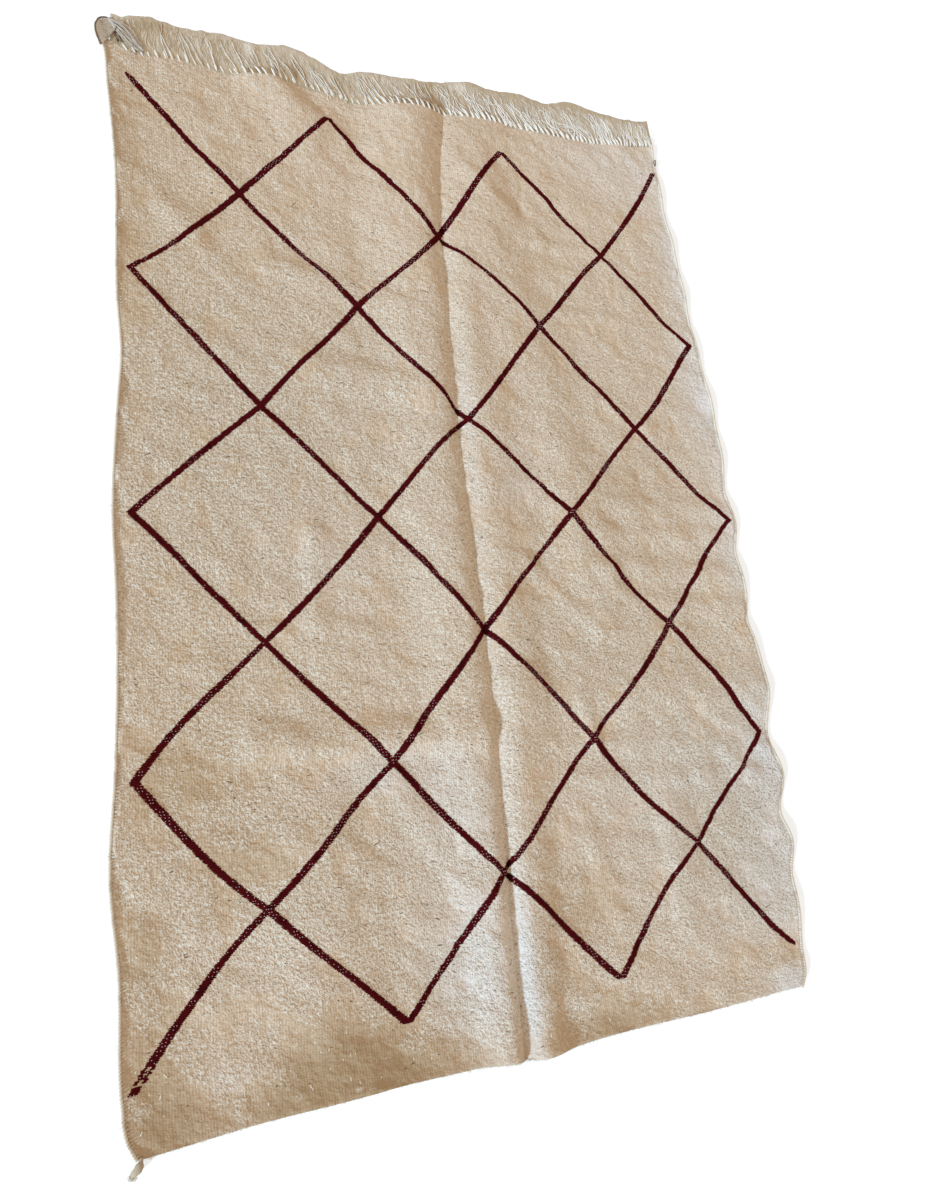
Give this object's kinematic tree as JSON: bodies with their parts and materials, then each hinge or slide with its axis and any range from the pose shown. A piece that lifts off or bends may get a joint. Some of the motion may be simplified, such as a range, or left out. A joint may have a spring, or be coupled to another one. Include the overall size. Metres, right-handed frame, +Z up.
{
  "type": "kilim rug",
  "caption": "Flat-woven wool kilim rug lying flat, cream with a dark red diamond lattice, a crease down the middle, overcast long edges and fringe at one end.",
  "frame": {"origin": "on the floor below the middle of the whole rug, fringe and corner tail counted", "axes": "+X across the rug to the right, +Y along it towards the fringed end, +Z up out of its face"},
  "size_m": [1.6587, 2.5269, 0.034],
  "materials": {
    "cream_weave": "woolly flat weave in undyed cream, flecked with darker fibres",
    "selvedge_cord": "overcast undyed wool cord",
    "fringe_yarn": "loose twisted undyed warp yarn",
    "lattice_yarn": "dark maroon wool weft floats"
  },
  "bodies": {
    "root": {"field": "cream_weave", "selvedge_left": "selvedge_cord", "selvedge_right": "selvedge_cord", "fringe": "fringe_yarn", "corner_tab": "fringe_yarn", "corner_tassel": "fringe_yarn"}
  },
  "joints": []
}
